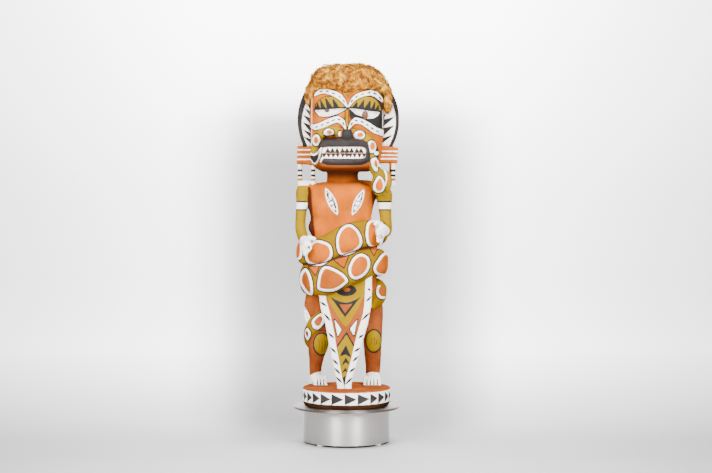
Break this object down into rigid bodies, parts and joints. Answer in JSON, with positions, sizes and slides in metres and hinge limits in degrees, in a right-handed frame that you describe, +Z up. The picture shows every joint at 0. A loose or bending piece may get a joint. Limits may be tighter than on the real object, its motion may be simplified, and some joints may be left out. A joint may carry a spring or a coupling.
{
  "type": "wooden ancestor figure",
  "caption": "Carved and painted standing wooden figure with a great snake wound about its waist, plate ears, bared teeth and a fibre wig, on a round base and a flanged metal drum",
  "frame": {"origin": "on the ground under the middle of the round stand", "axes": "+Z up the figure, the face looks along -Y, +X to the right of a viewer who faces it"},
  "size_m": [0.214, 0.214, 0.7553],
  "materials": {
    "painted_wood": "matt earth colours brushed on carved wood",
    "plant_fibre": "matted curly fibre",
    "eye_resin": "dark dull resin",
    "eye_shell": "worn shell set in resin",
    "brushed_metal": "spun and brushed",
    "clear_rubber": "clear soft pad"
  },
  "bodies": {
    "root": {"carved_figure": "painted_wood", "fibre_wig": "plant_fibre", "left_eye_resin": "eye_resin", "right_eye_shell": "eye_shell", "metal_stand": "brushed_metal", "stand_pad_1": "clear_rubber", "stand_pad_2": "clear_rubber", "stand_pad_3": "clear_rubber", "stand_pad_4": "clear_rubber"}
  },
  "joints": []
}
